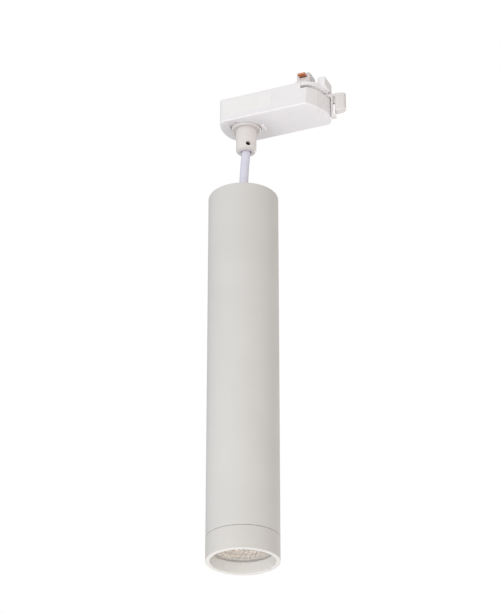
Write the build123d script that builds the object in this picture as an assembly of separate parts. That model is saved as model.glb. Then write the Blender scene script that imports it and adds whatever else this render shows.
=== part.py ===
from build123d import *
import math
import os

# Cylinder pendant for a single-circuit lighting track.
# Frame: millimetres, +Z up.  The origin lies on the track seat (the top face of the
# adapter, which closes against the underside of the rail), on the axis of the swivel
# and the cord grip; the pendant hangs 2.4 mm off that axis, towards -X.
# +X runs along the rail towards the locking lever, -Y is the side with the label.

# ---------------------------------------------------------------- driving sizes
ADAPTER_H = 21.7          # seat to underside
ADAPTER_HW = 18.7         # half width at the underside
ADAPTER_DRAFT = 3.6       # degrees, the long walls lean in towards the seat
WALL = 2.0
FLOOR = 2.2
COVER_T = 2.2

LEVER_X = 52.0            # axis of the lever and its turret
LEVER_REST = 17.0         # where the thumb lug stands when locked, degrees from +X
NOSE_R = 18.9             # round end wall that the lever sweeps past
NOTCH_X = 53.7            # the end wall is lowered beyond this
SLOT_Z0, SLOT_Z1 = -6.1, -3.1     # slot the lever's arm moves in
STOP_AZ = 27.0            # step in the end wall beyond the locked lever
HUB_R = 14.5
NECK_R = 7.6              # passes the 16.3 mm slot of the rail

POCKET_R = 12.3           # well in the underside that takes the swivel collar
COLLAR_R = 12.0
COLLAR_Z = -23.3          # lowest edge of the collar's lip
GRIP_R = 8.15             # cord grip
GRIP_Z = -43.3            # mouth of the cord grip
GRUB_Z, GRUB_AZ = -38.8, 34.5     # grub screw that pinches the cord
NIPPLE_R = 5.0            # M10 x 1 hollow nipple
NIPPLE_BORE = 3.75
CORD_R = 3.5              # 3 x 0.75 mm2 round PVC cord

HANG_X = -2.4             # the cord's set brings the pendant this far along the rail
TUBE_R = 27.5
TUBE_IN = 26.0
TUBE_TOP = -86.1
SEAM_Z = -372.6           # joint between tube and front ring
RIM_Z = -391.0            # lowest edge of the whole fitting
GLASS_Z = -381.35         # front of the lamp
CAP_COLLAR_R = 7.15
CAP_COLLAR_TOP = -76.1

os.makedirs("parts", exist_ok=True)


# ---------------------------------------------------------------- helpers
def cyl(r, z0, z1, x=0.0, y=0.0):
    return Pos(x, y, (z0 + z1) / 2) * Cylinder(r, abs(z1 - z0))


def block(x0, x1, y0, y1, z0, z1):
    return Pos((x0 + x1) / 2, (y0 + y1) / 2, (z0 + z1) / 2) * Box(
        x1 - x0, y1 - y0, z1 - z0
    )


def turned(*rz):
    """A solid of revolution about Z from (radius, height) points."""
    outline = Polyline(*[(r, 0, z) for r, z in rz], close=True)
    return revolve(make_face(outline), Axis.Z, 360)


def hexagon(flats, z0, z1, x=0.0, y=0.0, bore=0.0):
    face = RegularPolygon(flats / 2, 6, major_radius=False)
    body = Pos(x, y, z0) * extrude(face, z1 - z0)
    return body - cyl(bore, z0 - 1, z1 + 1, x, y) if bore else body


def tube_along(points, r):
    """Straight runs joined by tangent arcs, each as large as its runs allow."""
    pts = [Vector(*p) for p in points]
    radii = []
    for a, b, c in zip(pts, pts[1:], pts[2:]):
        turn = math.radians((b - a).get_angle(c - b))
        shorter = min((b - a).length, (c - b).length)
        radii.append(0.45 * shorter / math.tan(turn / 2))
    print("  bend radii / diameter:", [round(q / (2 * r), 1) for q in radii])
    path = FilletPolyline(*pts, radius=radii) if radii else Line(pts[0], pts[1])
    start = Plane(origin=pts[0], z_dir=(pts[1] - pts[0]).normalized())
    solid = sweep(start * Circle(r), path=path)
    print(
        "  length %.2f, volume ratio %.4f"
        % (path.length, solid.volume / (math.pi * r * r * path.length))
    )
    return solid


def write(name, *solids):
    shape = solids[0] if len(solids) == 1 else Compound(children=list(solids))
    export_step(shape, "parts/%s.step" % name)


def hang(name, *solids):
    """Write a piece of the pendant, which is drawn on the Z axis and hangs beside it."""
    write(name, *[Pos(HANG_X, 0, 0) * s for s in solids])


def wedge(cx, az0, az1, z0, z1, reach=60.0, side=0.0):
    """A flat sector from az0 to az1 (degrees) about (cx, 0), each side moved in by `side`."""
    steps = [az0 + (az1 - az0) * k / 6 for k in range(7)]
    pts = [(cx, 0.0)] + [
        (cx + reach * math.cos(math.radians(a)), reach * math.sin(math.radians(a)))
        for a in steps
    ]
    mid = math.radians((az0 + az1) / 2)
    half = math.radians((az1 - az0) / 2)
    move = side / math.sin(half) if side else 0.0
    solid = Pos(0, 0, z0) * extrude(make_face(Polyline(*pts, close=True)), z1 - z0)
    return Pos(move * math.cos(mid), move * math.sin(mid), 0) * solid


def hull(inset, z0=-ADAPTER_H, z1=0.0, trim=True):
    """Adapter body drawn in by `inset`: the long walls are drafted, the ends are upright."""
    tan = math.tan(math.radians(ADAPTER_DRAFT))
    low = ADAPTER_HW - inset - (z0 + ADAPTER_H) * tan
    high = ADAPTER_HW - inset - (z1 + ADAPTER_H) * tan
    section = make_face(
        Polyline((0, -low, z0), (0, low, z0), (0, high, z1), (0, -high, z1), close=True)
    )
    bar = Pos(-40, 0, 0) * extrude(section, 140, dir=(1, 0, 0))
    plan = block(0, LEVER_X, -30, 30, z0, z1)
    # lever end: a nose about the lever's axis, then a squarer corner past the stop
    plan += cyl(NOSE_R - inset, z0, z1, LEVER_X, 0)
    plan += cyl(26.0 - inset, z0, z1, 46.5, 0) & wedge(
        LEVER_X, STOP_AZ, 100.0, z0, z1, side=inset
    )
    if trim:
        # the label side runs on straight, and the nose is planed off beyond it
        plan += block(LEVER_X, 66.0, -30, -8, z0, z1)
        edge = [
            ThreePointArc((56.8, -20.3), (61.7, -14.3), (64.9, -9.4)),
            Line((64.9, -9.4), (74.5, 17.5)),
            Line((74.5, 17.5), (90, 17.5)),
            Line((90, 17.5), (90, -40)),
            Line((90, -40), (44.0, -40)),
            Line((44.0, -40), (56.8, -20.3)),
        ]
        corner = Pos(-0.93 * inset, 0.37 * inset, z0 - 0.1) * extrude(
            make_face(edge), z1 - z0 + 0.2
        )
        plan -= corner & block(52, 100, -50, 7.0, z0 - 1, z1 + 1)
    # pendant end, squarer on the label side
    plan += cyl(18.6 - inset, z0, z1, 0, 0.3)
    plan += cyl(26.0 - inset, z0, z1, 7.1, -4.0) & block(-40, 1, -30, 2.0, z0, z1)
    return bar & plan


def at_lever(r, t=0.0):
    """Point in plan at radius r and sideways offset t from the resting lug's line."""
    a = math.radians(LEVER_REST)
    return (
        LEVER_X + r * math.cos(a) - t * math.sin(a),
        r * math.sin(a) + t * math.cos(a),
    )


# ---------------------------------------------------------------- adapter housing
body = hull(0)
corners = body.edges().filter_by(
    lambda e: e.length > 15 and abs(e.center().Z + ADAPTER_H / 2) < 2
    and (
        (e.center().X > 60 and e.center().Y > 14)
        or (e.center().X < -10 and e.center().Y < -14)
    )
)
print("corner edges", [(round(e.center().X, 1), round(e.center().Y, 1)) for e in corners])
body = fillet(corners, 4.0)
crease = body.edges().filter_by(
    lambda e: e.length > 15 and abs(e.center().Z + ADAPTER_H / 2) < 2
    and 56.5 < e.center().X < 60 and e.center().Y < -15
)
print("crease", [(round(e.center().X, 1), round(e.center().Y, 1)) for e in crease])
body = fillet(crease, 1.2)
low = body.edges().filter_by(lambda e: abs(e.center().Z + ADAPTER_H) < 0.01)
body = fillet(low, 1.1)
cavity = hull(WALL, -ADAPTER_H + FLOOR, 1.0)

# the end wall is lowered under the lever's arm, from the label side round to the stop
notch = block(NOTCH_X, 100, -40, 0.1, SLOT_Z0, 2) + wedge(
    LEVER_X, -60.0, STOP_AZ, SLOT_Z0, 2
) & block(NOTCH_X, 100, -40, 40, SLOT_Z0, 2)

shell = body - cavity - notch
# swivel well: a closed boss rising from the floor
shell += cyl(POCKET_R + 2.0, -ADAPTER_H + 0.5, -13.2)
# screw pillars
SCREWS = [(-10.6, -12.0), (14.5, 12.2), (31.0, -12.2), (33.0, 12.2)]
for sx, sy in SCREWS:
    shell += cyl(2.9, -ADAPTER_H + 0.5, -4.45, sx, sy)
shell -= cyl(POCKET_R, -ADAPTER_H - 1, -15.9)
shell -= cyl(8.0, -17, -12)
for sx, sy in SCREWS:
    shell -= cyl(1.15, -16.0, -4.0, sx, sy)
# shallow relief beside the well at the pendant end
relief = Polyline(
    (-10.9, -4.0), (-10.3, -12.5), (-8.6, -15.8), (-4.4, -16.2), (2.0, -10.0), (-3.0, -3.0),
    close=True,
)
relief = Pos(0, 0, -ADAPTER_H - 1) * extrude(make_face(relief), 2.4)
upright = relief.edges().filter_by(Axis.Z).filter_by(lambda e: e.center().Y < -11.5)
relief = fillet(upright, 1.3)
shell -= relief
# low stop rib beside the collar
rib = Pos(14.6, 1.2, -ADAPTER_H - 0.35) * Rot(0, 0, 8) * Box(2.6, 7.5, 2.3)
rib = fillet(rib.edges().filter_by(lambda e: e.center().Z < -ADAPTER_H - 1.0), 0.9)
shell += rib
write("housing_shell", shell)

# ---------------------------------------------------------------- top cover
cover = hull(WALL + 0.08, -4.4, 0.0)
# roof over the lever's arm, a little past the inside of the lowered wall
roof = cyl(17.6, SLOT_Z1, 0, LEVER_X, 0) & (
    block(NOTCH_X + 0.1, 100, -40, 0.1, -5, 1)
    + wedge(LEVER_X, -60.0, STOP_AZ - 0.5, -5, 1)
)
cover += roof & hull(0.6, -5.0, 1.0, trim=False)
# room below the roof for the hub, and for the arm over its quarter turn
cover -= cyl(HUB_R + 0.3, -6, SLOT_Z1, LEVER_X, 0)
cover -= block(NOTCH_X - 0.5, 100, -40, 0.1, -6, SLOT_Z1)
cover -= wedge(LEVER_X, -60.0, STOP_AZ + 4.0, -6, SLOT_Z1)
cover -= block(-15.0, 27.0, -8.0, 8.0, -4.5, -COVER_T)
cover -= cyl(NECK_R + 0.05, -6, 1, LEVER_X, 0)
tongue = block(10.0, 33.0, -7.8, 7.8, -1.0, 4.6)
tongue = fillet(tongue.edges().filter_by(Axis.Z), 3.0)
tongue = chamfer(
    tongue.edges().filter_by(lambda e: e.center().Z > 4.5), 0.8
)
cover += tongue
cover -= block(14.0, 29.0, -5.3, 5.3, 1.6, 6)     # cored out from above
cover -= block(17.0, 26.0, -8.8, -7.3, -0.1, 3.4)   # seat for the earth spring
# guide block at the lever end
guide = block(64.4, 70.9, -7.8, 7.8, -1.0, 7.5)
guide = fillet(guide.edges().filter_by(Axis.Z), 1.0)
guide = chamfer(guide.edges().filter_by(lambda e: e.center().Z > 7.4), 0.8)
cover += guide
for sx, sy in SCREWS:
    cover -= cyl(1.35, -5, 1, sx, sy)
    cover -= Pos(sx, sy, -0.7) * Cone(1.35, 2.55, 1.4001)
write("top_cover", cover)

screws = []
for sx, sy in SCREWS:
    s = cyl(1.25, -14.5, -1.0, sx, sy) + Pos(sx, sy, -0.75) * Cone(1.25, 2.4, 1.3)
    s -= block(sx - 2.0, sx + 2.0, sy - 0.3, sy + 0.3, -0.75, 1)
    s -= block(sx - 0.3, sx + 0.3, sy - 2.0, sy + 2.0, -0.75, 1)
    screws.append(s)
write("cover_screws", *screws)

# earth spring on the label side of the guide tongue
spring = block(17.5, 25.5, -7.75, -7.35, 0.4, 3.2)
spring += Pos(21.5, -7.75, 1.9) * Rot(0, 90, 0) * Cylinder(0.45, 7.0)
write("earth_contact", spring)

# blank label on the long side
t = math.radians(ADAPTER_DRAFT)
LABEL_Z = -9.2
ly = -(ADAPTER_HW - (LABEL_Z + ADAPTER_H) * math.tan(t))
lab_plane = Plane(
    origin=(8.1, ly, LABEL_Z), x_dir=(1, 0, 0), z_dir=(0, -math.cos(t), math.sin(t))
)
label = lab_plane * (Pos(0, 0, 0.08) * Box(41.4, 14.0, 0.12))
label = fillet(
    label.edges().filter_by(lambda e: e.length < 0.2), 0.8
)
write("label_plate", label)

# ---------------------------------------------------------------- lever and turret
HUB_Z0, HUB_Z1 = -5.6, -3.3
plate = cyl(HUB_R, HUB_Z0, HUB_Z1, LEVER_X, 0)
turn = Pos(LEVER_X, 0, 0) * Rot(0, 0, LEVER_REST)
arm = block(9.0, 30.0, -2.7, 2.7, HUB_Z0, HUB_Z1)
lever = plate + turn * arm
# thumb lug, clear of the end wall over the whole turn, with a slanted underside
lug = block(22.6, 31.4, -3.8, 3.8, -24.0, HUB_Z1)
lug = fillet(lug.edges().filter_by(Axis.Z), 2.4)
under = Polyline((10, 0, -30), (45, 0, -30), (45, 0, -14.31), (10, 0, -22.26), close=True)
under = Pos(0, 15, 0) * extrude(make_face(under), 30, dir=(0, -1, 0))
lug -= under
edge = lug.edges().filter_by(lambda e: e.center().Z < -16.5)
lug = fillet(edge, 0.8)
lever += turn * lug
# finger that hugs the round end wall, with a toe that turns out under it
side_view = Polyline(
    (19.75, 0, HUB_Z1), (19.75, 0, -22.6), (20.6, 0, -24.0), (21.9, 0, -24.3), (23.2, 0, -23.9),
    (23.6, 0, -23.0), (23.0, 0, -22.4), (21.9, 0, -22.1), (21.2, 0, -21.5), (21.05, 0, -20.6),
    (21.05, 0, HUB_Z1), close=True,
)
finger = Pos(0, 5, 0) * extrude(make_face(side_view), 10, dir=(0, -1, 0))
front_view = block(15, 30, -3.0, 3.0, -24.4, HUB_Z1)
front_view = fillet(
    front_view.edges().filter_by(Axis.X).filter_by(lambda e: e.center().Z < -20), 2.4
)
finger = finger & front_view
lever += turn * finger
lever += turn * block(20.5, 23.5, -1.2, 1.2, -11.0, HUB_Z1)
lever -= cyl(NECK_R + 0.03, -6, 1, LEVER_X, 0)
write("lock_lever", lever)

turret = cyl(11.2, -7.6, -5.7, LEVER_X, 0)
turret += cyl(NECK_R, -5.75, 2.3, LEVER_X, 0)
wings = block(LEVER_X - 5.6, LEVER_X + 5.6, -11.8, 11.8, 2.2, 5.0)
wings = fillet(wings.edges().filter_by(Axis.Z), 2.5)
turret += wings
post = block(LEVER_X - 5.6, LEVER_X + 5.6, -6.6, 6.6, 4.9, 15.6)
post = fillet(post.edges().filter_by(Axis.Z), 1.2)
post = chamfer(post.edges().filter_by(lambda e: e.center().Z > 15.5), 0.8)
turret += post
# slots for the two contact blades and their tails
turret -= block(LEVER_X - 3.1, LEVER_X + 3.1, 3.4, 8.0, 7.0, 8.6)
turret -= block(LEVER_X - 3.1, LEVER_X + 3.1, -8.0, -3.4, 11.2, 12.8)
turret -= block(LEVER_X - 2.1, LEVER_X + 2.1, 3.4, 4.4, -8, 7.1)
turret -= block(LEVER_X - 2.1, LEVER_X + 2.1, -4.4, -3.4, -8, 11.3)
write("contact_turret", turret)


def blade(sign, z):
    """Copper spring blade that springs out sideways to the rail's conductor."""
    a = block(LEVER_X - 3.0, LEVER_X + 3.0, 3.5, 10.6, z + 0.4, z + 1.1)
    a += Pos(LEVER_X, 10.6, z + 0.9) * Rot(0, 90, 0) * Cylinder(0.9, 6.0)
    a += block(LEVER_X - 2.0, LEVER_X + 2.0, 3.5, 4.3, -9.2, z + 1.1)
    return a if sign > 0 else Pos(LEVER_X, 0, 0) * Rot(0, 0, 180) * Pos(-LEVER_X, 0, 0) * a


write("contact_live", blade(1, 7.0))
write("contact_neutral", blade(-1, 11.2))

# ---------------------------------------------------------------- swivel
collar = turned(
    (NIPPLE_R + 0.03, -19.6), (8.25, -19.6), (8.25, -22.5), (10.1, -22.5), (10.35, COLLAR_Z + 0.2),
    (10.6, COLLAR_Z), (11.5, COLLAR_Z), (COLLAR_R, COLLAR_Z + 0.5),
    (COLLAR_R, -16.1), (7.95, -16.1), (7.95, -12.9), (NIPPLE_R + 0.03, -12.9),
)
write("swivel_collar", collar)
washer = cyl(10.8, -12.9, -12.1) - cyl(NIPPLE_R + 0.1, -14, -11)
write("swivel_washer", washer)
write("nipple_nut", chamfer(hexagon(13.0, -12.1, -9.3).edges().filter_by(
    lambda e: e.center().Z > -9.4), 0.4) - cyl(NIPPLE_R + 0.03, -13, -8))
write(
    "swivel_nipple",
    turned((NIPPLE_BORE, -31.0), (NIPPLE_R - 0.4, -31.0), (NIPPLE_R, -30.6),
           (NIPPLE_R, -9.0), (NIPPLE_R - 0.4, -8.6), (NIPPLE_BORE, -8.6)),
)

grip = cyl(GRIP_R, GRIP_Z, -19.6)
grip = fillet(grip.edges().filter_by(lambda e: e.center().Z < GRIP_Z + 0.1), 2.8)
grip -= cyl(NIPPLE_R + 0.03, -31.2, -19)
grip -= cyl(4.2, GRIP_Z - 1, -31)
grip -= Pos(0, 0, GRIP_Z + 0.2) * Cone(4.6, 4.2, 0.4001)
hole_dir = math.radians(GRUB_AZ)
hx, hy = math.sin(hole_dir), -math.cos(hole_dir)
side = Plane(origin=(0, 0, GRUB_Z), z_dir=(hx, hy, 0))
grip -= side * (Pos(0, 0, 6.5) * Cylinder(2.0, 6.0))
write("cord_grip", grip)
grub = side * (Pos(0, 0, 4.75) * Cylinder(1.97, 2.2))
grub -= side * (Pos(0, 0, 4.9) * extrude(RegularPolygon(1.0, 6), 1.5))
write("grub_screw", grub)

# ---------------------------------------------------------------- cord
CORD_ROUTE = [(0, 0, -23.0), (0.1, 0.0, -42.5), (-1.6, -0.3, -60.0), (-2.4, 0, -79.0)]
print("cord")
write("cord", tube_along(CORD_ROUTE, CORD_R))
hang("cord_tail", cyl(CORD_R, -112.0, -79.8))

# ---------------------------------------------------------------- adapter leads
for name, points in {
    "adapter_lead_live": [(1.0, 1.25, -22.5), (1.05, 1.3, -6.3), (6.2, 2.6, -4.7), (18.0, 4.4, -4.9),
                          (33.0, 5.6, -8.4), (44.0, 4.6, -10.4), (51.0, 3.95, -10.5)],
    "adapter_lead_neutral": [(1.0, -1.25, -22.5), (1.05, -1.3, -6.3), (6.2, -2.6, -4.7),
                             (18.0, -4.4, -4.9), (33.0, -5.6, -8.4), (44.0, -4.6, -10.4),
                             (51.0, -3.95, -10.5)],
}.items():
    print(name)
    write(name, tube_along(points, 1.05))
print("adapter_lead_earth")
write("adapter_lead_earth", tube_along(
    [(-1.5, 0, -22.5), (-1.45, 0.05, -6.4), (1.6, 0.1, -4.0), (9.0, -0.1, -3.7), (16.4, 0.3, -3.75),
     (21.0, -0.3, -3.8)], 1.05))

# ---------------------------------------------------------------- pendant tube and cap
tube = turned(
    (TUBE_IN, SEAM_Z + 0.1), (TUBE_R - 0.15, SEAM_Z + 0.1), (TUBE_R, SEAM_Z + 0.25),
    (TUBE_R, TUBE_TOP - 0.5), (TUBE_R - 0.15, TUBE_TOP - 0.15), (TUBE_R - 0.5, TUBE_TOP),
    (26.4, TUBE_TOP), (26.4, TUBE_TOP - 2.6), (TUBE_IN, TUBE_TOP - 2.6),
    (TUBE_IN, -308.4), (26.7, -308.4), (26.7, -309.8), (TUBE_IN, -309.8),
)
hang("tube_body", tube)

cap = cyl(26.35, -88.65, -86.35)
cap = chamfer(cap.edges().filter_by(lambda e: e.center().Z > -86.4), 0.3)
for sy in (-18.0, 18.0):
    cap += cyl(3.6, -97.0, -88.0, 0, sy)
cap -= cyl(NIPPLE_R + 0.03, -90, -85)
for sy in (-18.0, 18.0):
    cap -= cyl(1.5, -98, -90.0, 0, sy)
hang("top_cap", cap)

cap_collar = turned(
    (NIPPLE_R + 0.03, -86.35), (CAP_COLLAR_R, -86.35), (CAP_COLLAR_R, -78.1), (6.6, -76.7), (5.6, CAP_COLLAR_TOP),
    (5.0, CAP_COLLAR_TOP), (4.4, -77.0), (4.4, -80.6), (NIPPLE_R + 0.03, -80.6),
)
hang("cap_collar", cap_collar)
hang(
    "cap_nipple",
    turned((NIPPLE_BORE, -97.5), (NIPPLE_R - 0.4, -97.5), (NIPPLE_R, -97.1),
           (NIPPLE_R, -81.2), (NIPPLE_R - 0.4, -80.8), (NIPPLE_BORE, -80.8)),
)
hang("cap_nut", hexagon(13.0, -92.6, -89.8, bore=NIPPLE_R + 0.03))

# bracket under the cap nut; a tongue reaches down and carries the terminal block
brk = cyl(9.0, -89.8, -88.7) + block(0, 15.2, -6.0, 6.0, -89.8, -88.7)
brk += block(14.1, 15.2, -6.0, 6.0, -146.0, -88.7)
brk = fillet(brk.edges().filter_by(Axis.Y).filter_by(
    lambda e: abs(e.center().X - 14.1) < 0.01 and abs(e.center().Z + 89.8) < 0.01), 1.0)
brk -= cyl(NIPPLE_R + 0.1, -91, -88)
brk -= Pos(14.6, 3.8, -135.5) * Rot(0, 90, 0) * Cylinder(1.6, 4)
hang("terminal_bracket", brk)

block3 = block(3.2, 14.1, -11.5, 11.5, -142.0, -129.0)
for cy in (-7.6, 0.0, 7.6):
    block3 -= Pos(8.4, cy, -135.5) * Cylinder(1.7, 20)
    for tz in (-132.3, -138.7):
        block3 -= Pos(4.4, cy, tz) * Rot(0, 90, 0) * Cylinder(1.6, 5.0)
for cy in (-3.8, 3.8):
    block3 -= block(2.0, 6.0, cy - 0.5, cy + 0.5, -143, -128)
block3 -= Pos(8, 3.8, -135.5) * Rot(0, 90, 0) * Cylinder(1.5, 20)
hang("terminal_block", block3)
tscrews = []
for cy in (-7.6, 0.0, 7.6):
    for tz in (-132.3, -138.7):
        s = Pos(5.0, cy, tz) * Rot(0, 90, 0) * Cylinder(1.45, 3.2)
        s -= block(3.2, 4.0, cy - 1.2, cy + 1.2, tz - 0.25, tz + 0.25)
        tscrews.append(s)
hang("terminal_screws", *tscrews)
fix = Pos(9.4, 3.8, -135.5) * Rot(0, 90, 0) * Cylinder(1.4, 12.8)
fix += Pos(2.4, 3.8, -135.5) * Rot(0, 90, 0) * Cylinder(2.6, 1.5)
fix -= block(1.0, 2.3, 3.5, 4.1, -138, -133)
hang("block_screw", fix)

# two-part clamp that stops the cord pulling up through the nipple
halves = []
for s in (1, -1):
    h = block(-9.5, 9.5, 0.35, 6.2, -107.5, -99.5)
    h = fillet(h.edges().filter_by(Axis.Z).filter_by(lambda e: e.center().Y > 6), 2.0)
    h -= cyl(CORD_R - 0.15, -110, -98)
    for cx in (-6.6, 6.6):
        h -= Pos(cx, 3, -103.5) * Rot(90, 0, 0) * Cylinder(1.3, 10)
    halves.append(h if s > 0 else Rot(0, 0, 180) * h)
hang("cord_clamp", *halves)
cs = []
for cx in (-6.6, 6.6):
    s = Pos(cx, -0.4, -103.5) * Rot(90, 0, 0) * Cylinder(1.25, 12.0)
    s += Pos(cx, -7.0, -103.5) * Rot(90, 0, 0) * Cylinder(2.4, 1.6)
    s -= block(cx - 2, cx + 2, -8.0, -7.3, -103.8, -103.2)
    cs.append(s)
hang("clamp_screws", *cs)

# ---------------------------------------------------------------- rods and lampholder plate
hang("tie_rods", *[cyl(1.45, -316.0, -90.6, 0, sy) for sy in (-18.0, 18.0)])
hang("rod_nuts", *[hexagon(5.5, -314.0, -311.6, 0, sy, bore=1.5) for sy in (-18.0, 18.0)])
clip = cyl(26.6, -309.7, -308.5) - cyl(24.6, -311, -307)
clip -= block(-30, -20, -4.5, 4.5, -311, -307)
hang("retaining_ring", clip)
plate = cyl(25.8, -311.4, -309.9) - cyl(8.5, -312, -309)
for sy in (-18.0, 18.0):
    plate -= cyl(1.6, -312, -309, 0, sy)
for sx in (-11.0, 11.0):
    plate -= cyl(1.6, -312, -309, sx, 0)
for ang in (45, 135, 225, 315):
    plate -= Rot(0, 0, ang) * Pos(18.0, 0, -310.5) * extrude(
        SlotOverall(12, 5, rotation=90), 6, both=True)
hang("holder_plate", plate)

# GU10 lampholder: glazed ceramic, keyhole slots for the lamp's two pins
PIN_R = 5.0
TWIST = 45.0
holder = cyl(14.0, -327.5, -311.4)
holder = fillet(holder.edges().filter_by(lambda e: e.center().Z < -327), 1.2)
holder -= turned((2.1, -325.0), (8.3, -325.0), (8.3, -316.5), (2.1, -316.5))
for side_a in (0, 180):
    holder -= Rot(0, 0, side_a - TWIST) * Pos(PIN_R, 0, -326.5) * Cylinder(2.75, 5)
    for k in range(0, 10):
        holder -= Rot(0, 0, side_a - TWIST * k / 9) * Pos(PIN_R, 0, -326.5) * Cylinder(1.75, 5)
    holder -= Rot(0, 0, side_a) * Pos(PIN_R, 0, -314) * Cylinder(1.25, 8)
for sx in (-11.0, 11.0):
    holder -= cyl(1.2, -320, -311, sx, 0)
hang("lampholder", holder)
hs = []
for sx in (-11.0, 11.0):
    s = cyl(1.2, -318.5, -309.0, sx, 0) + cyl(2.6, -309.9, -308.3, sx, 0)
    s -= block(sx - 2, sx + 2, -0.3, 0.3, -308.9, -308)
    hs.append(s)
hang("holder_screws", *hs)
contacts = []
for side_a in (0, 180):
    c = block(3.4, 6.8, -1.9, 1.9, -317.2, -316.6)
    c += block(3.4, 4.0, -1.9, 1.9, -319.2, -316.7)
    c += cyl(0.8, -317.0, -312.0, 5.0, 0)
    contacts.append(Rot(0, 0, side_a) * c)
hang("holder_contacts", *contacts)

print("lamp leads")
hang("lead_live", tube_along(
    [(5.0, 0.0, -311.9), (5.1, 0.1, -298.0), (8.6, 2.0, -272.0), (12.4, 5.4, -232.0),
     (11.0, 8.4, -192.0), (8.4, 8.2, -160.0), (8.4, 7.6, -141.0)], 1.1))
hang("lead_neutral", tube_along(
    [(-5.0, 0.0, -311.9), (-5.1, -0.1, -298.0), (-3.6, -3.4, -272.0), (3.2, -8.4, -232.0),
     (8.6, -10.2, -192.0), (8.5, -8.4, -160.0), (8.4, -7.6, -141.0)], 1.1))
hang("lead_earth", tube_along(
    [(4.6, -14.0, -309.8), (4.7, -13.9, -298.0), (6.4, -12.4, -272.0), (10.4, -4.4, -232.0),
     (11.6, -1.2, -192.0), (8.5, 0.2, -160.0), (8.4, 0.0, -141.0)], 1.1))
print("cord cores")
hang("core_live", tube_along(
    [(1.1, 1.3, -112.1), (1.2, 1.5, -115.6), (4.4, 5.2, -121.6), (8.2, 7.5, -126.2), (8.4, 7.6, -130.4)], 1.05))
hang("core_neutral", tube_along(
    [(1.1, -1.3, -112.1), (1.2, -1.5, -115.6), (4.4, -5.2, -121.6), (8.2, -7.5, -126.2), (8.4, -7.6, -130.4)], 1.05))
hang("core_earth", tube_along(
    [(-1.5, 0.0, -112.1), (-1.4, 0.1, -116.4), (3.2, 0.3, -122.0), (8.1, 0.1, -126.4), (8.4, 0.0, -130.4)], 1.05))

# ---------------------------------------------------------------- lamp
glass = turned(
    (0, GLASS_Z), (23.9, GLASS_Z), (24.4, GLASS_Z + 0.4), (24.4, GLASS_Z + 1.2), (0, GLASS_Z + 1.2)
)
hang("lamp_glass", glass)
RZ = GLASS_Z + 1.2
outer = [(24.7, RZ), (24.7, RZ + 1.8), (23.9, RZ + 3.2), (22.6, RZ + 9.0), (19.6, RZ + 17.0),
         (15.4, RZ + 24.0), (11.4, RZ + 29.5), (10.6, RZ + 33.0)]
inner = [(8.6, RZ + 33.0), (9.4, RZ + 29.2), (13.6, RZ + 23.4), (17.9, RZ + 16.4), (21.0, RZ + 8.6),
         (22.3, RZ + 3.2), (22.9, RZ)]
hang("lamp_reflector", turned(*outer, *inner))
capsule = turned(
    (0, RZ + 9.5), (2.6, RZ + 10.1), (4.2, RZ + 11.9), (4.6, RZ + 14.0), (4.6, RZ + 26.0), (4.2, RZ + 29.0), (4.2, RZ + 31.5),
    (0, RZ + 31.5),
)
hang("lamp_capsule", capsule)
BASE_TOP = -328.3
base = turned(
    (0, RZ + 31.6), (8.4, RZ + 31.6), (8.4, RZ + 33.1), (12.2, RZ + 33.1), (12.6, RZ + 33.6), (12.6, BASE_TOP - 6.5), (11.8, BASE_TOP - 5.0),
    (11.8, BASE_TOP - 0.4), (11.4, BASE_TOP), (0, BASE_TOP),
)
hang("lamp_base", base)
pins = []
for sx in (-PIN_R, PIN_R):
    p = cyl(1.4, BASE_TOP, -322.6, sx, 0)
    p += cyl(2.4, -324.2, -319.6, sx, 0)
    p = chamfer(p.edges().filter_by(lambda e: e.center().Z > -319.7), 0.5)
    pins.append(p)
hang("lamp_pins", *pins)

# ---------------------------------------------------------------- front ring
hang("lamp_cushion", cyl(24.75, -382.05, -381.45) - cyl(23.8, -383, -381))
ring = turned(
    (24.6, RIM_Z), (27.2, RIM_Z), (TUBE_R, RIM_Z + 0.3), (TUBE_R, SEAM_Z - 0.4), (TUBE_R - 0.15, SEAM_Z - 0.25),
    (25.95, SEAM_Z - 0.25), (25.95, -367.0), (25.65, -366.7), (25.05, -366.7), (25.05, -382.1),
    (23.7, -382.1), (23.55, -382.3), (23.55, -382.6), (24.25, RIM_Z + 0.4),
)
hang("front_ring", ring)
print("written", len(os.listdir("parts")))
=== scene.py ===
import math

import bpy
import bmesh
from mathutils import Matrix, Vector


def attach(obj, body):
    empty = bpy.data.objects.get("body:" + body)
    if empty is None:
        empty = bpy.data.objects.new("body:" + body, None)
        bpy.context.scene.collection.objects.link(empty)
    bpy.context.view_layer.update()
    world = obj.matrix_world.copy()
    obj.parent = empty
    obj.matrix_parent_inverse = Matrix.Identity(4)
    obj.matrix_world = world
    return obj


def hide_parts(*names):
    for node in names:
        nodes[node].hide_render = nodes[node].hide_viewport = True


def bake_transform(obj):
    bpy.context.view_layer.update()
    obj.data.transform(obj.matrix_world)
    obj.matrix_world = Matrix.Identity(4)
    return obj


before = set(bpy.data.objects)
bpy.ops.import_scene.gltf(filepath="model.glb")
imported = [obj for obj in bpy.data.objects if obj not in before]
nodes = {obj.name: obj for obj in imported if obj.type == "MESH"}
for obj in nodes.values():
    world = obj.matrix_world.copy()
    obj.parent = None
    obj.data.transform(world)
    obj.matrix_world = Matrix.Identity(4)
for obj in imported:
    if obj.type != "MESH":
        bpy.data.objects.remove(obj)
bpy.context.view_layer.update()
scene = bpy.context.scene
MM = 0.001
HANG_X = -0.0024      # the pendant's axis

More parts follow.
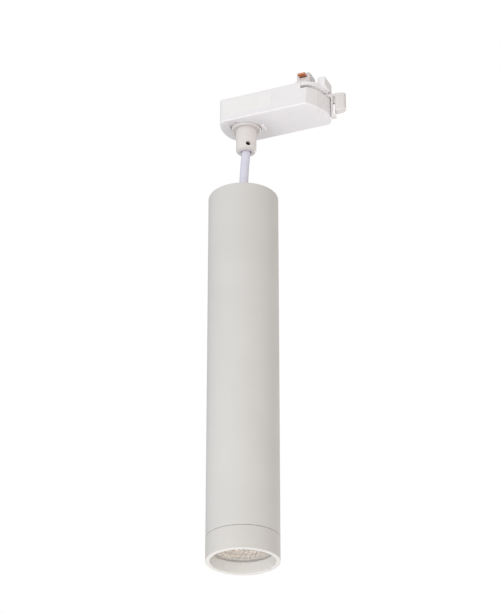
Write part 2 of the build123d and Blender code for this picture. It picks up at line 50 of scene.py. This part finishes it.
# ------------------------------------------------------------------ camera
YAW, PITCH, ROLL = math.radians(22.69), math.radians(27.66), math.radians(0.0)
cam_data = bpy.data.cameras.new("camera")
cam_data.sensor_fit = "AUTO"
cam_data.sensor_width = 36.0
cam_data.lens = 36.0 * 2321.6 / 614.0
cam_data.clip_start, cam_data.clip_end = 0.05, 50.0
cam = bpy.data.objects.new("camera", cam_data)
scene.collection.objects.link(cam)
fwd = Vector((-math.sin(YAW) * math.cos(PITCH), math.cos(YAW) * math.cos(PITCH), math.sin(PITCH)))
right = Vector((math.cos(YAW), math.sin(YAW), 0.0))
up = right.cross(fwd)
r2 = right * math.cos(ROLL) + up * math.sin(ROLL)
u2 = up * math.cos(ROLL) - right * math.sin(ROLL)
turn = Matrix((r2, u2, -fwd)).transposed().to_4x4()
cam.matrix_world = Matrix.Translation((0.613218, -1.458871, -1.01135)) @ turn
scene.camera = cam

# ------------------------------------------------------------------ colour helpers
def lin(c):
    c = c / 255.0
    return c / 12.92 if c <= 0.04045 else ((c + 0.055) / 1.055) ** 2.4


def rgb(r, g, b, a=1.0):
    return (lin(r), lin(g), lin(b), a)


def dim(c, k):
    return (c[0] * k, c[1] * k, c[2] * k, 1.0)


class Mat:
    """A node material, with short calls for the few nodes that the finishes here need."""

    def __init__(self, name):
        self.m = bpy.data.materials.new(name)
        self.m.use_nodes = True
        self.nt = self.m.node_tree
        self.nt.nodes.clear()
        self.out = self.nt.nodes.new("ShaderNodeOutputMaterial")
        self.b = self.nt.nodes.new("ShaderNodeBsdfPrincipled")
        self.nt.links.new(self.b.outputs[0], self.out.inputs[0])
        self.co = self.nt.nodes.new("ShaderNodeTexCoord")
        self.height = None

    def set(self, **k):
        for key, v in k.items():
            self.b.inputs[key.replace("_", " ")].default_value = v
        return self

    def link(self, a, b):
        self.nt.links.new(a, b)

    def coords(self, stretch=(1, 1, 1)):
        if stretch == (1, 1, 1):
            return self.co.outputs["Object"]
        n = self.nt.nodes.new("ShaderNodeMapping")
        n.inputs["Scale"].default_value = stretch
        self.link(self.co.outputs["Object"], n.inputs[0])
        return n.outputs[0]

    def noise(self, size_mm, detail=3.0, rough=0.5, stretch=(1, 1, 1)):
        n = self.nt.nodes.new("ShaderNodeTexNoise")
        n.inputs["Scale"].default_value = 1000.0 / size_mm
        n.inputs["Detail"].default_value = detail
        n.inputs["Roughness"].default_value = rough
        self.link(self.coords(stretch), n.inputs["Vector"])
        return n.outputs[0]

    def cells(self, size_mm, stretch=(1, 1, 1)):
        n = self.nt.nodes.new("ShaderNodeTexVoronoi")
        n.inputs["Scale"].default_value = 1000.0 / size_mm
        self.link(self.coords(stretch), n.inputs["Vector"])
        return n.outputs["Distance"]

    def ramp(self, fac, *stops):
        n = self.nt.nodes.new("ShaderNodeValToRGB")
        e = n.color_ramp.elements
        while len(e) < len(stops):
            e.new(0.5)
        for el, (p, c) in zip(e, stops):
            el.position = p
            el.color = c if isinstance(c, tuple) else (c, c, c, 1)
        self.link(fac, n.inputs[0])
        return n.outputs[0]

    def range(self, fac, a, b, lo, hi):
        n = self.nt.nodes.new("ShaderNodeMapRange")
        for i, v in zip((1, 2, 3, 4), (a, b, lo, hi)):
            n.inputs[i].default_value = v
        self.link(fac, n.inputs[0])
        return n.outputs[0]

    def math(self, op, a, b):
        n = self.nt.nodes.new("ShaderNodeMath")
        n.operation = op
        for i, v in enumerate((a, b)):
            if isinstance(v, (int, float)):
                n.inputs[i].default_value = v
            else:
                self.link(v, n.inputs[i])
        return n.outputs[0]

    def mix(self, fac, a, b, mode="MIX"):
        n = self.nt.nodes.new("ShaderNodeMix")
        n.data_type = "RGBA"
        n.blend_type = mode
        for i, v in ((0, fac), (6, a), (7, b)):
            if isinstance(v, (int, float, tuple)):
                n.inputs[i].default_value = v
            else:
                self.link(v, n.inputs[i])
        return n.outputs[2]

    def colour(self, sock):
        self.link(sock, self.b.inputs["Base Color"])
        return self

    def roughness(self, sock):
        self.link(sock, self.b.inputs["Roughness"])
        return self

    def bump(self, sock, depth_mm, strength=1.0):
        n = self.nt.nodes.new("ShaderNodeBump")
        n.inputs["Strength"].default_value = strength
        n.inputs["Distance"].default_value = depth_mm * MM
        self.link(sock, n.inputs["Height"])
        if self.height is not None:
            self.link(self.height, n.inputs["Normal"])
        self.link(n.outputs[0], self.b.inputs["Normal"])
        self.height = n.outputs[0]
        return self


# ------------------------------------------------------------------ finishes
def powder_coat(name, c, grain=0.9):
    """Fine powder coat: a soft orange peel under a finer speckle, matt."""
    m = Mat(name)
    slow = m.noise(38.0, 2.0)
    fine = m.noise(0.55, 2.0, 0.6)
    col = m.ramp(slow, (0.30, dim(c, 0.975)), (0.70, dim(c, 1.02)))
    col = m.mix(m.range(fine, 0.35, 0.75, 0.0, 0.10), col, dim(c, 0.90))
    m.colour(col)
    m.roughness(m.range(m.noise(3.2, 3.0), 0.3, 0.7, 0.50, 0.62))
    m.bump(m.noise(1.9, 2.0), 0.030 * grain)
    m.bump(fine, 0.014 * grain)
    m.set(Specular_IOR_Level=0.42)
    return m.m


def moulded(name, c, rough=(0.34, 0.46), texture=0.010, warm=0.0):
    """Injection-moulded plastic: spark-eroded fine texture and faint flow clouds."""
    m = Mat(name)
    cloud = m.noise(22.0, 3.0, 0.55, (0.5, 1.0, 1.0))
    grain = m.noise(0.32, 2.0, 0.6)
    tint = (c[0] * (1 + 0.01 * warm), c[1], c[2] * (1 - 0.02 * warm), 1.0)
    m.colour(m.ramp(cloud, (0.28, dim(c, 0.97)), (0.72, dim(tint, 1.015))))
    m.roughness(m.range(m.noise(5.0, 2.0), 0.3, 0.7, *rough))
    m.bump(cloud, 0.02)
    m.bump(grain, texture)
    m.set(Specular_IOR_Level=0.45, Subsurface_Weight=0.06, Subsurface_Scale=0.0015)
    m.b.inputs["Subsurface Radius"].default_value = (1.0, 0.8, 0.7)
    return m.m


def metal(name, c, rough=(0.2, 0.34), brush=(1, 1, 14), size=1.2, depth=0.006):
    m = Mat(name)
    lines = m.noise(size, 3.0, 0.6, brush)
    stain = m.noise(9.0, 3.0, 0.6)
    m.colour(m.ramp(stain, (0.25, dim(c, 0.82)), (0.75, dim(c, 1.05))))
    m.roughness(m.range(lines, 0.3, 0.7, *rough))
    m.bump(lines, depth)
    m.set(Metallic=1.0)
    return m.m


def threaded(name, c, pitch):
    """Plated screw thread: a real pitch cut as a wave along Z; the same wave darkens the colour in the valleys, painted
    shade in the thread.
    """
    m = Mat(name)
    w = m.nt.nodes.new("ShaderNodeTexWave")
    w.wave_type, w.bands_direction, w.wave_profile = "BANDS", "Z", "TRI"
    w.inputs["Scale"].default_value = 1000.0 / pitch * math.pi / 31.4159
    w.inputs["Distortion"].default_value = 0.0
    m.link(m.co.outputs["Object"], w.inputs["Vector"])
    # thread valleys darkened in the colour: painted shade
    m.colour(m.mix(w.outputs["Fac"], dim(c, 0.55), c))
    m.roughness(m.range(m.noise(2.0), 0.3, 0.7, 0.22, 0.36))
    m.bump(w.outputs["Fac"], 0.35)
    m.set(Metallic=1.0)
    return m.m


def rubbery(name, c, rough=(0.38, 0.5), stretch=(1, 1, 0.15), depth=0.012):
    """Extruded insulation: faint lines along its length."""
    m = Mat(name)
    die = m.noise(0.8, 2.0, 0.5, stretch)
    haze = m.noise(9.0, 2.0)
    m.colour(m.ramp(haze, (0.3, dim(c, 0.95)), (0.7, dim(c, 1.02))))
    m.roughness(m.range(die, 0.3, 0.7, *rough))
    m.bump(die, depth)
    m.set(Specular_IOR_Level=0.5)
    return m.m


def ceramic(name, c):
    m = Mat(name)
    speck = m.cells(0.7)
    m.colour(m.mix(m.range(speck, 0.0, 0.35, 0.22, 0.0), dim(c, 1.0), dim(c, 0.72)))
    m.roughness(m.range(m.noise(1.4), 0.3, 0.7, 0.55, 0.72))
    m.bump(m.noise(0.6, 4.0), 0.03)
    return m.m


WHITE = rgb(248, 246, 249)
HOUSING = moulded("white_plastic", WHITE, (0.36, 0.48))
LEVER = moulded("lever_plastic", rgb(234, 230, 230), (0.36, 0.48))
BLACKED = metal("blacked_steel", rgb(34, 33, 34), (0.4, 0.55), (1, 1, 1), 1.0)
GRIP = moulded("grip_plastic", rgb(237, 233, 232), (0.40, 0.52))
TUBE = powder_coat("white_paint", rgb(221, 220, 218))
RING = powder_coat("ring_paint", rgb(220, 218, 215))
# lighter copy of the ring paint for the ring's recess: painted light on its inner wall
RECESS_PAINTED_LIGHT = powder_coat("recess_painted_light", rgb(236, 235, 232))
STEEL = metal("steel", rgb(196, 197, 200))
NUTS = metal("plated_nut", rgb(206, 204, 198), (0.18, 0.3))
THREAD = threaded("plated_thread", rgb(206, 204, 198), 1.0)
COPPER = metal("copper", rgb(214, 138, 98), (0.22, 0.36), (1, 14, 1))
BRASS = metal("brass", rgb(214, 180, 104), (0.24, 0.38))
PINS = metal("pin_metal", rgb(208, 208, 208), (0.16, 0.3))
PVC = rubbery("cord_pvc", rgb(231, 231, 246), (0.30, 0.42))
BROWN = rubbery("core_brown", rgb(104, 60, 38))
BLUE = rubbery("core_blue", rgb(58, 104, 182))
SILICONE = rubbery("silicone_lead", rgb(228, 224, 216), (0.5, 0.6))
CUSHION = rubbery("cushion", rgb(222, 220, 216), (0.5, 0.62), (1, 1, 1))
STEATITE = ceramic("ceramic", rgb(238, 234, 226))
BASE = ceramic("lamp_base", rgb(236, 232, 224))
NYLON = moulded("terminal_plastic", rgb(236, 232, 220), (0.42, 0.55), warm=1.0)


def earth_sleeve():
    m = Mat("core_earth")
    wave = m.nt.nodes.new("ShaderNodeTexWave")
    wave.wave_type, wave.bands_direction, wave.wave_profile = "BANDS", "DIAGONAL", "SIN"
    wave.inputs["Scale"].default_value = 70.0
    m.link(m.co.outputs["Object"], wave.inputs["Vector"])
    m.colour(m.ramp(wave.outputs["Fac"], (0.47, rgb(48, 128, 62)), (0.53, rgb(226, 206, 60))))
    m.roughness(m.range(m.noise(2.0), 0.3, 0.7, 0.38, 0.5))
    m.bump(m.noise(0.8, 2.0), 0.01)
    return m.m


def paper():
    m = Mat("label")
    fibre = m.noise(0.45, 4.0, 0.65, (0.6, 1, 1))
    m.colour(m.ramp(m.noise(6.0, 3.0), (0.3, rgb(245, 245, 245)), (0.7, rgb(249, 249, 249))))
    m.roughness(m.range(fibre, 0.3, 0.7, 0.55, 0.7))
    m.bump(fibre, 0.02)
    m.set(Specular_IOR_Level=0.35)
    return m.m


EARTH = earth_sleeve()
LABEL = paper()

finish = {
    HOUSING: ["housing_shell", "top_cover"],
    LEVER: ["lock_lever", "contact_turret"],
    GRIP: ["swivel_collar", "cord_grip", "cap_collar"],
    LABEL: ["label_plate"],
    TUBE: ["tube_body", "top_cap"],
    RING: ["front_ring"],
    STEEL: ["cover_screws", "swivel_washer", "terminal_bracket", "block_screw", "clamp_screws",
            "tie_rods", "rod_nuts", "retaining_ring", "holder_plate", "holder_screws"],
    NUTS: ["nipple_nut", "cap_nut"],
    BLACKED: ["grub_screw"],
    THREAD: ["swivel_nipple", "cap_nipple"],
    COPPER: ["contact_live", "contact_neutral"],
    BRASS: ["earth_contact", "terminal_screws", "holder_contacts"],
    PINS: ["lamp_pins"],
    PVC: ["cord_tail"],
    BROWN: ["adapter_lead_live", "core_live"],
    BLUE: ["adapter_lead_neutral", "core_neutral"],
    EARTH: ["adapter_lead_earth", "core_earth", "lead_earth"],
    SILICONE: ["lead_live", "lead_neutral"],
    CUSHION: ["lamp_cushion"],
    STEATITE: ["lampholder"],
    BASE: ["lamp_base"],
    NYLON: ["terminal_block", "cord_clamp"],
}
for material, names in finish.items():
    for n in names:
        o = nodes[n]
        if not o.material_slots:
            o.data.materials.append(material)
        for s in o.material_slots:
            s.material = material

# the ring's recess gets a lighter copy of the ring paint: painted light on its inner wall, which is the same coat as
# the outside
ring = nodes["front_ring"]
ring.data.materials.append(RECESS_PAINTED_LIGHT)
for p in ring.data.polygons:
    c = ring.matrix_world @ p.center
    n = ring.matrix_world.to_3x3() @ p.normal
    out = Vector((c.x - HANG_X, c.y, 0))
    if -0.3902 < c.z < -0.3795 and out.length < 0.0262 and n.dot(out.normalized()) < -0.3:
        p.material_index = len(ring.data.materials) - 1


# ------------------------------------------------------------------ mesh helpers
def new_object(name, verts, faces, material, smooth=True, shift=0.0):
    me = bpy.data.meshes.new(name)
    me.from_pydata([(v[0] + shift, v[1], v[2]) for v in verts], [], faces)
    me.validate()
    me.update()
    o = bpy.data.objects.new(name, me)
    scene.collection.objects.link(o)
    me.materials.append(material)
    for p in me.polygons:
        p.use_smooth = smooth
    return o


def tube_mesh(name, line, r, material, sides=32, cap=True):
    """A round tube along `line` (points in metres), with parallel-carried rings."""
    pts = [Vector(p) for p in line]
    verts, faces = [], []
    t0 = (pts[1] - pts[0]).normalized()
    side = t0.orthogonal().normalized()
    for i, p in enumerate(pts):
        t = (pts[min(i + 1, len(pts) - 1)] - pts[max(i - 1, 0)]).normalized()
        side = (side - t * side.dot(t)).normalized()
        other = t.cross(side)
        for k in range(sides):
            a = 2 * math.pi * k / sides
            verts.append(p + (side * math.cos(a) + other * math.sin(a)) * r)
    for i in range(len(pts) - 1):
        for k in range(sides):
            a, b = i * sides + k, i * sides + (k + 1) % sides
            faces.append((a, b, b + sides, a + sides))
    if cap:
        faces.append(tuple(reversed(range(sides))))
        faces.append(tuple(range((len(pts) - 1) * sides, len(pts) * sides)))
    return new_object(name, verts, faces, material)


def spline_line(points, steps=24):
    """Points read from an endpoint NURBS spline of order 3 through the route."""
    cu = bpy.data.curves.new("route", "CURVE")
    cu.dimensions = "3D"
    s = cu.splines.new("NURBS")
    s.points.add(len(points) - 1)
    for q, p in zip(s.points, points):
        q.co = (*p, 1.0)
    s.order_u = 3
    s.use_endpoint_u = True
    s.resolution_u = steps
    o = bpy.data.objects.new("route", cu)
    scene.collection.objects.link(o)
    bpy.context.view_layer.update()
    me = bpy.data.meshes.new_from_object(o)
    line = [v.co.copy() for v in me.vertices]
    bpy.data.objects.remove(o)
    bpy.data.meshes.remove(me)
    return line


# ------------------------------------------------------------------ cord
ROUTE = [(0, 0, -0.0230), (0.0001, 0, -0.0425), (-0.0016, -0.0003, -0.0600), (-0.0024, 0, -0.0790)]
line = spline_line(ROUTE)
cord = tube_mesh("cord_sheath", line, 0.0035, PVC, 40)
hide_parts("cord")
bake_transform(cord)

# ------------------------------------------------------------------ lamp
GLASS_Z = -381.35
RZ = GLASS_Z + 1.2


def clear_glass(name, tint, cover, rough=0.03, ripple=0.0):
    """Thin clear glass: it lets the light straight through and keeps its surface gloss."""
    m = Mat(name)
    wave = m.noise(3.0, 2.0)
    m.colour(m.ramp(wave, (0.3, tint), (0.7, dim(tint, 0.985))))
    m.roughness(m.range(m.noise(0.8, 2.0), 0.3, 0.7, rough, rough * 2.2))
    if ripple:
        m.bump(wave, ripple)
    m.set(Alpha=cover, IOR=1.47, Specular_IOR_Level=0.5, Coat_Weight=0.6, Coat_Roughness=0.02)
    m.m.surface_render_method = "BLENDED"
    return m.m


LENS = clear_glass("clear_glass", (0.90, 0.92, 0.94, 1.0), 0.16, 0.02, 0.02)
QUARTZ = clear_glass("capsule_glass", (0.97, 0.98, 1.0, 1.0), 0.72, 0.04)


def dichroic():
    """Vapour-coated facets: a warm metallic film, mixed towards a pale colour where the surface is seen at a grazing
    angle: a painted sheen.
    """
    m = Mat("dichroic")
    # Layer Weight facing drives a painted sheen: the colour turns pale towards grazing view angles
    f = m.nt.nodes.new("ShaderNodeLayerWeight")
    f.inputs["Blend"].default_value = 0.45
    film = m.noise(2.2, 3.0)
    warm = m.mix(m.range(film, 0.3, 0.7, 0.0, 1.0), rgb(246, 234, 218), rgb(214, 196, 176))
    m.colour(m.mix(f.outputs["Facing"], warm, rgb(248, 244, 240)))
    m.roughness(m.range(m.noise(1.2, 3.0), 0.3, 0.7, 0.06, 0.14))
    m.set(Metallic=0.85)
    return m.m


DICHROIC = dichroic()
inner = [(22.9, 0.0), (22.55, 2.6), (21.85, 5.8), (20.75, 9.2), (19.3, 12.6), (17.5, 16.0), (15.35, 19.4),
         (12.9, 22.8), (10.6, 26.0), (9.0, 29.0), (8.7, 32.9)]
outer = [(10.5, 32.9), (11.3, 29.5), (15.3, 24.0), (19.5, 17.0), (22.5, 9.0), (23.85, 3.2), (24.65, 1.8), (24.65, 0.02)]
SECT = 36
verts, faces, facet_faces = [], [], []
rings = []
for j, (r, z) in enumerate(inner):
    ring = []
    for k in range(SECT):
        a = 2 * math.pi * (k + 0.5 * (j % 2)) / SECT
        ring.append(len(verts))
        verts.append((r * MM * math.cos(a), r * MM * math.sin(a), (RZ + z) * MM))
    rings.append(ring)
for j in range(len(inner) - 1):
    r0, z0 = inner[j]
    r1, z1 = inner[j + 1]
    for k in range(SECT):
        n = (k + 1) % SECT
        if j % 2 == 0:
            quad = [rings[j][k], rings[j][n], rings[j + 1][k], rings[j + 1][(k - 1) % SECT]]
        else:
            quad = [rings[j][k], rings[j][n], rings[j + 1][(k + 1) % SECT + (0)], rings[j + 1][k]]
        if j % 2 == 0:
            # each facet is a small pyramid pushed back from the beam
            c = sum((Vector(verts[q]) for q in quad), Vector()) / 4
        else:
            quad = [rings[j][k], rings[j][n], rings[j + 1][(k + 1) % SECT], rings[j + 1][k]]
            quad[2], quad[3] = rings[j + 1][(k + 1) % SECT], rings[j + 1][k]
            c = sum((Vector(verts[q]) for q in quad), Vector()) / 4
        flat = Vector((c.x, c.y, 0)).normalized()
        c = c + flat * 0.00062 + Vector((0, 0, 0.00032))
        ci = len(verts)
        verts.append(tuple(c))
        for q in range(4):
            faces.append((quad[(q + 1) % 4], quad[q], ci))
N_OUT = 72
prev = None
first = None
outs = []
for r, z in outer:
    ring = []
    for k in range(SECT):
        a = 2 * math.pi * (k + 0.5 * ((len(inner) - 1) % 2)) / SECT
        ring.append(len(verts))
        verts.append((r * MM * math.cos(a), r * MM * math.sin(a), (RZ + z) * MM))
    outs.append(ring)
chain = [rings[-1]] + outs
for a, b in zip(chain, chain[1:]):
    for k in range(SECT):
        n = (k + 1) % SECT
        faces.append((a[n], a[k], b[k], b[n]))
for k in range(SECT):
    n = (k + 1) % SECT
    faces.append((outs[-1][n], outs[-1][k], rings[0][k], rings[0][n]))
reflector = new_object("faceted_reflector", verts, faces, DICHROIC, smooth=False, shift=HANG_X)
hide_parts("lamp_reflector")
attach(reflector, "lamp")


def revolve(name, profile, material, sides=72, smooth=True, close=False):
    """Profile of (radius, height) in mm, turned about Z."""
    verts, faces, rings = [], [], []
    for r, z in profile:
        if r < 1e-6:
            rings.append([len(verts)])
            verts.append((0, 0, z * MM))
            continue
        rings.append(list(range(len(verts), len(verts) + sides)))
        for k in range(sides):
            a = 2 * math.pi * k / sides
            verts.append((r * MM * math.cos(a), r * MM * math.sin(a), z * MM))
    loop = list(zip(rings, rings[1:])) + ([(rings[-1], rings[0])] if close else [])
    for a, b in loop:
        for k in range(sides):
            n = (k + 1) % sides
            if len(a) == 1 and len(b) == 1:
                continue
            if len(a) == 1:
                faces.append((a[0], b[n], b[k]))
            elif len(b) == 1:
                faces.append((a[k], a[n], b[0]))
            else:
                faces.append((a[k], a[n], b[n], b[k]))
    o = new_object(name, verts, faces, material, smooth, shift=HANG_X)
    bm = bmesh.new()
    bm.from_mesh(o.data)
    bmesh.ops.recalc_face_normals(bm, faces=bm.faces)
    bm.to_mesh(o.data)
    bm.free()
    return o


# the cord's jacket inside the pendant, with room above it for the pendant to tilt
tail = revolve("cord_tail_jacket", [(0, -80.2), (1.5, -80.25), (2.9, -80.9), (3.5, -81.7), (3.5, -112.0), (0, -112.0)], PVC, 40)
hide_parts("cord_tail")
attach(tail, "pendant")

# bright flange of the reflector, that the glass is cemented to
flange = revolve("reflector_flange", [(22.75, RZ + 0.03), (24.38, RZ + 0.03), (24.38, GLASS_Z + 0.15), (24.8, GLASS_Z + 0.15), (24.8, RZ + 1.5),
                                        (23.4, RZ + 1.5)], BASE, 96,
                 close=True)
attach(flange, "lamp")

# front glass: slightly domed, rounded at its edge
lens = revolve("front_glass", [
    (0, GLASS_Z + 0.02), (8, GLASS_Z + 0.03), (16, GLASS_Z + 0.07), (22.6, GLASS_Z + 0.12), (23.6, GLASS_Z + 0.18),
    (24.1, GLASS_Z + 0.35), (24.35, GLASS_Z + 0.62), (24.35, GLASS_Z + 1.0), (24.2, GLASS_Z + 1.17),
    (22.0, GLASS_Z + 1.18), (0, GLASS_Z + 1.1)], LENS, 96)
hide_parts("lamp_glass")
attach(lens, "lamp")

# quartz capsule: drawn tip, bulb, pinched seal; with its filament and leads
cap_profile = [(0, RZ + 9.3), (0.7, RZ + 9.5), (1.1, RZ + 10.2), (1.7, RZ + 10.9), (3.1, RZ + 11.6), (4.1, RZ + 12.9),
               (4.5, RZ + 14.6), (4.55, RZ + 20.5), (4.5, RZ + 23.6), (4.0, RZ + 25.3), (3.3, RZ + 26.4), (3.2, RZ + 31.2),
               (0, RZ + 31.2)]
bulb = revolve("lamp_capsule_bulb", cap_profile, QUARTZ, 48)
bm = bmesh.new()
bm.from_mesh(bulb.data)
for v in bm.verts:      # the pinched seal is flat
    z = v.co.z / MM - RZ
    if z > 25.0:
        k = min(1.0, (z - 25.0) / 1.6)
        v.co.y *= 1.0 - 0.5 * k
        v.co.x = HANG_X + (v.co.x - HANG_X) * (1.0 + 0.28 * k)
bm.to_mesh(bulb.data)
bm.free()
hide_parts("lamp_capsule")
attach(bulb, "lamp")

tung = metal("tungsten", rgb(150, 148, 146), (0.3, 0.45))
coil = []
for i in range(0, 15 * 16 + 1):
    a = 2 * math.pi * i / 16
    coil.append((HANG_X + 0.55 * math.cos(a) * MM, 0.55 * math.sin(a) * MM, (RZ + 15.2 + 5.2 * i / 240.0) * MM))
filament = tube_mesh("filament", coil, 0.00009, tung, 6)
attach(filament, "lamp")
for side, z_end in ((-1, 20.4), (1, 15.2)):
    pts = [(HANG_X + side * 1.5 * MM, 0, (RZ + 27.5) * MM), (HANG_X + side * 1.5 * MM, 0, (RZ + z_end + 0.8) * MM),
           (HANG_X + side * 0.9 * MM, 0, (RZ + z_end) * MM), (HANG_X + side * 0.5 * MM, 0, (RZ + z_end) * MM)]
    w = tube_mesh("filament_lead_%s" % ("a" if side < 0 else "b"), spline_line(pts, 8), 0.00022, tung, 10)
    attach(w, "lamp")

# ------------------------------------------------------------------ studio
world = bpy.data.worlds.new("studio")
scene.world = world
world.use_nodes = True
nt = world.node_tree
nt.nodes.clear()
out = nt.nodes.new("ShaderNodeOutputWorld")
bg = nt.nodes.new("ShaderNodeBackground")
bg_cam = nt.nodes.new("ShaderNodeBackground")
mixer = nt.nodes.new("ShaderNodeMixShader")
path = nt.nodes.new("ShaderNodeLightPath")
tc = nt.nodes.new("ShaderNodeTexCoord")


def towards(direction, lo, hi):
    """A value that runs from lo to hi as the sky direction turns towards `direction`."""
    dot = nt.nodes.new("ShaderNodeVectorMath")
    dot.operation = "DOT_PRODUCT"
    dot.inputs[1].default_value = Vector(direction).normalized()
    n = nt.nodes.new("ShaderNodeMapRange")
    for i, v in zip((1, 2, 3, 4), (lo[0], hi[0], lo[1], hi[1])):
        n.inputs[i].default_value = v
    nt.links.new(tc.outputs["Generated"], dot.inputs[0])
    nt.links.new(dot.outputs["Value"], n.inputs[0])
    return n.outputs[0]


# a white tent, brightest in front and below, and a little warmer on the lever's side
nt.links.new(towards((0.0, -0.87, -0.40), (-1.0, 0.185), (1.0, 0.95)), bg.inputs["Strength"])
tint = nt.nodes.new("ShaderNodeMix")
tint.data_type = "RGBA"
tint.inputs[6].default_value = (1.0, 1.0, 1.0, 1)
tint.inputs[7].default_value = (1.0, 0.945, 0.89, 1)
nt.links.new(towards((1, 0.1, 0), (-0.1, 0.0), (0.8, 1.0)), tint.inputs[0])
nt.links.new(tint.outputs[2], bg.inputs["Color"])
bg_cam.inputs["Color"].default_value = (1, 1, 1, 1)
bg_cam.inputs["Strength"].default_value = 1.0
nt.links.new(path.outputs["Is Camera Ray"], mixer.inputs[0])
nt.links.new(bg.outputs[0], mixer.inputs[1])
nt.links.new(bg_cam.outputs[0], mixer.inputs[2])
nt.links.new(mixer.outputs[0], out.inputs[0])


def area(name, pos, aim, size, power, col=(1, 1, 1)):
    d = bpy.data.lights.new(name, "AREA")
    d.shape, d.size, d.energy, d.color = "DISK", size, power, col
    o = bpy.data.objects.new(name, d)
    scene.collection.objects.link(o)
    o.location = pos
    o.rotation_euler = (Vector(aim) - Vector(pos)).to_track_quat("-Z", "Y").to_euler()
    return o


area("key", (-0.50, -2.3, -0.12), (0, 0, -0.2), 1.1, 7.0)
area("low", (0.0, -0.11, -0.92), (0, 0, -0.39), 0.32, 1.75)
area("side", (2.0, 0.9, -0.3), (0, 0, -0.2), 1.0, 5.0, (1.0, 0.97, 0.945))
area("rim", (0.6, 2.2, -0.3), (0, 0, -0.2), 1.0, 16.0, (1.0, 0.98, 0.96))

scene.view_settings.view_transform = "Standard"
scene.view_settings.look = "None"
